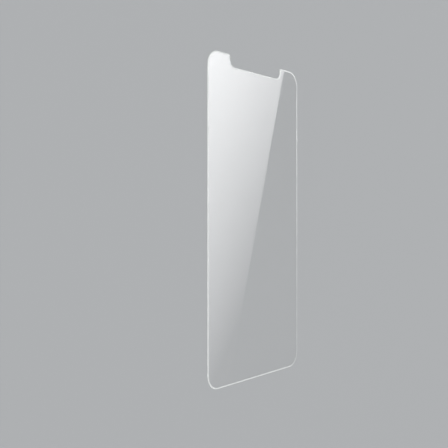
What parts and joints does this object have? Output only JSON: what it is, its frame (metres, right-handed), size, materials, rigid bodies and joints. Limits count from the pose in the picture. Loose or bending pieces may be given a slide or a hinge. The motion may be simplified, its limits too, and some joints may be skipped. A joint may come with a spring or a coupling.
{
  "type": "phone screen protector",
  "caption": "Thin clear tempered-glass pane with rounded corners, an arc-ground edge and a notch in its top edge, laid over a phone's display to guard it from scratches.",
  "frame": {"origin": "middle of the back face, at the centre of the outline's bounding box", "axes": "+X across the width, +Y along the length towards the notch, +Z out of the touch face"},
  "size_m": [0.0648, 0.138, 0.0003],
  "materials": {
    "tempered_glass": "clear, fire-polished faces and a ground and polished edge"
  },
  "bodies": {
    "root": {"protector_glass": "tempered_glass"}
  },
  "joints": []
}
